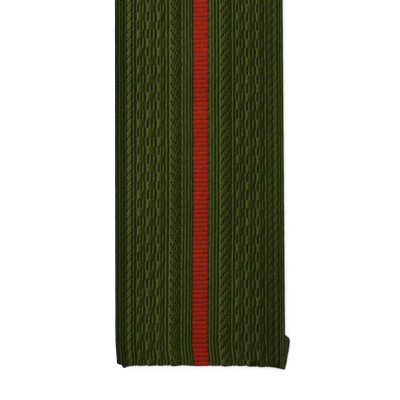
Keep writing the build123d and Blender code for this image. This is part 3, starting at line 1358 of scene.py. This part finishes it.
@dataclass(frozen=True)
class Lobe:
    """A rounded lobe of folded cloth that grows out of a straight root.

    Its section is half a flat oval: reach * cos(a)^0.5 outwards and half the thickness * sin(a) up
    from its middle, for a from 90 degrees over the rim to -90. The reach follows the rim's table of
    places along the root and reaches past it, joined by a smooth line, and each section is closed
    along the root. For faces that point outwards, the rim of a lobe to the right is listed down
    the board, and that of a lobe beyond the end is listed to the right.
    """

    name: str
    growth: Growth
    root: float
    thickness: float
    middle: float
    rim: tuple
    steps: int = 240
    round_steps: int = 32
    rounding: float = 0.12
    unevenness: Unevenness = Unevenness(0.05, 0.0, 4.0)
    seed: int = 91
    # Sine of the section's angle where the top's painted light starts and is full; the rim below
    # keeps the dark ground as painted shade
    crest: tuple = (0.60, 0.90)
    # A worn spot: middle and half width, by the section's angle and by the place along the root
    worn_angle: tuple = (0.7, 0.25)
    worn_place: tuple = (-2.2, 0.35)

    def outline(self) -> list[np.ndarray]:
        """The rim as a smooth line of even steps.

        The table's points are joined by straight lines, and each point of the smooth line is the
        mean at seven places along them, spread over the rounding to both sides.

        Returns:
            The places along the root, and the reaches past it, as one column each.
        """
        places, reaches = np.array(self.rim).T
        line = np.concatenate([[0.0], np.cumsum(np.hypot(np.diff(places), np.diff(reaches)))])
        fine = np.linspace(0.0, line[-1], self.steps + 1)
        shifts = np.linspace(-self.rounding, self.rounding, 7)
        return [
            np.mean([np.interp(fine + shift, line, column) for shift in shifts], axis=0)[:, None]
            for column in (places, reaches)
        ]

    def build(self) -> bpy.types.Object:
        """Makes the lobe.

        Returns:
            The new object.
        """
        place, reach = self.outline()
        angle = np.linspace(QUARTER, -QUARTER, self.round_steps + 1)[None, :]
        uneven = 1.0 + self.unevenness.at(0.0, place, self.seed)
        up = self.middle + 0.5 * self.thickness * np.sin(angle) * uneven
        out = reach * np.cos(angle) ** 0.5
        run = np.broadcast_to(place, out.shape)
        right = (self.root + out, run, up)
        beyond = (run, self.root - out, up)
        grid = np.stack(right if self.growth is Growth.RIGHT else beyond, axis=-1)
        index = np.arange(out.size).reshape(out.shape)
        ring = np.concatenate([index, index[:, :1]], axis=1)
        faces = [quads(ring), index[0][None, ::-1], index[-1][None, :]]
        (worn_angle, angle_half), (worn_place, place_half) = self.worn_angle, self.worn_place
        worn = bell((angle - worn_angle) / angle_half) * bell((place - worn_place) / place_half)
        # Painted light on the top of the section, and painted shade on its rim
        height = np.broadcast_to(step(np.sin(angle), *self.crest), out.shape)
        values = {"height": height.ravel(), "worn": worn.ravel()}
        uv = np.stack(np.broadcast_arrays(angle * 0.5 * self.thickness, run), axis=-1)
        return mesh_object(self.name, grid.reshape(-1, 3), faces, values, uv.reshape(-1, 2))


@dataclass
class FoldEdges:
    """The two places where the turned-under flap shows: an ear at the right, a tip at the left."""

    board: Board
    ear_root: float = 23.6
    ear_thickness: float = 2.5
    ear_middle: float = 1.34
    # Rim of the ear: place along, and reach past the root
    ear_rim: tuple = (
        (4.62, 0.2),
        (4.55, 1.45),
        (4.12, 1.9),
        (3.74, 2.4),
        (3.5, 2.7),
        (3.1, 2.95),
        (2.2, 3.02),
        (1.2, 2.93),
        (-0.2, 2.72),
        (-1.7, 2.40),
        (-4.0, 2.02),
        (-5.2, 1.72),
        (-5.62, 1.35),
        (-5.75, 0.2),
    )
    tip_inset: float = 0.6
    tip_thickness: float = 0.9
    tip_middle: float = 1.1
    # Rim of the tip: place across, and reach past the root
    tip_rim: tuple = (
        (-23.3, 0.65),
        (-23.1, 1.05),
        (-22.75, 1.62),
        (-22.6, 1.58),
        (-22.0, 1.22),
        (-21.0, 0.96),
        (-19.6, 0.65),
    )

    def build(self) -> list[bpy.types.Object]:
        """Makes the ear and the tip.

        Returns:
            The new objects.
        """
        material = FLAP_SIDE_PAINTED_LIGHT.material()
        ear = (self.ear_root, self.ear_thickness, self.ear_middle, self.ear_rim)
        tip = (self.board.end_y + self.tip_inset, self.tip_thickness, self.tip_middle, self.tip_rim)
        lobes = Lobe("galloon_ear", Growth.RIGHT, *ear), Lobe("galloon_fold_tip", Growth.OUT, *tip)
        pieces = [lobe.build() for lobe in lobes]
        return [finish_piece(piece, "galloon", material) for piece in pieces]


@dataclass
class Studio:
    """The pale floor, the soft light from the upper left, and the camera above the face."""

    floor_half: float = 1.2
    floor_colour: tuple = (0.9, 0.9, 0.9, 1.0)
    floor_roughness: float = 0.9
    floor_glow: float = 0.58
    target: tuple = (0.00015, 0.04435, 0.003)
    distance: float = 0.55
    tilt_degrees: float = 3.3
    roll_degrees: float = -0.26
    view_width: float = 0.1187
    sensor_width: float = 36.0
    nearest: float = 0.01
    key_from: tuple = (-0.408, 0.315, 0.135)
    key_size: float = 0.14
    key_watts: float = 10.4
    key_colour: tuple = (1.0, 0.99, 0.96)
    room_colour: tuple = (0.97, 0.98, 1.0, 1.0)
    room_strength: float = 0.65

    def build(self) -> None:
        """Makes the floor, the lights, the surroundings and the camera."""
        self.floor()
        self.key()
        self.room()
        self.camera()
        bpy.context.scene.view_settings.view_transform = "Standard"

    def floor(self) -> None:
        """A plain square floor of pale board under the part, lit a little from within."""
        half = self.floor_half
        corners = [(-half, -half, 0.0), (half, -half, 0.0), (half, half, 0.0), (-half, half, 0.0)]
        mesh = bpy.data.meshes.new("floor")
        mesh.from_pydata(corners, [], [(0, 1, 2, 3)])
        sheet = NodeSheet("pale_floor")
        sheet.dress(
            {
                "Base Color": self.floor_colour,
                "Roughness": self.floor_roughness,
                "Emission Color": (1.0, 1.0, 1.0, 1.0),
                "Emission Strength": self.floor_glow,
            }
        )
        mesh.materials.append(sheet.material)
        new_object("floor", mesh)

    def key(self) -> None:
        """A square soft light at the upper left, turned to the middle of the board."""
        light = bpy.data.lights.new("key", "AREA")
        light.size, light.energy, light.color = self.key_size, self.key_watts, self.key_colour
        made = new_object("key", light)
        made.visible_camera = False
        toward = Vector(self.target) - Vector(self.key_from)
        turned = toward.to_track_quat("-Z", "Y").to_matrix().to_4x4()
        made.matrix_world = Matrix.Translation(self.key_from) @ turned

    def room(self) -> None:
        """Even pale light from all around."""
        world = bpy.data.worlds.new("pale_room")
        world.use_nodes = True
        background = world.node_tree.nodes["Background"]
        background.inputs["Color"].default_value = self.room_colour
        background.inputs["Strength"].default_value = self.room_strength
        bpy.context.scene.world = world

    def camera(self) -> None:
        """The camera, a little off straight above towards the shoulder end."""
        camera = bpy.data.cameras.new("camera")
        camera.sensor_width = self.sensor_width
        camera.lens = self.sensor_width * self.distance / self.view_width
        camera.clip_start = self.nearest
        made = new_object("camera", camera)
        tilt = Matrix.Rotation(radians(self.tilt_degrees), 4, "X")
        roll = Matrix.Rotation(radians(self.roll_degrees), 4, "Z")
        back = Matrix.Translation((0.0, 0.0, self.distance))
        made.matrix_world = Matrix.Translation(self.target) @ tilt @ roll @ back
        bpy.context.scene.camera = made


def main() -> None:
    logging.basicConfig(level=logging.INFO, format="%(name)s: %(message)s")
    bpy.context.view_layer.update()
    Studio().build()
    board = Board()
    galloon = Galloon(board, Weave())
    galloon.build()
    stripe = Stripe(board).build()
    edges = FoldEdges(board).build()
    galloon.declare()


if __name__ == "__main__":
    main()
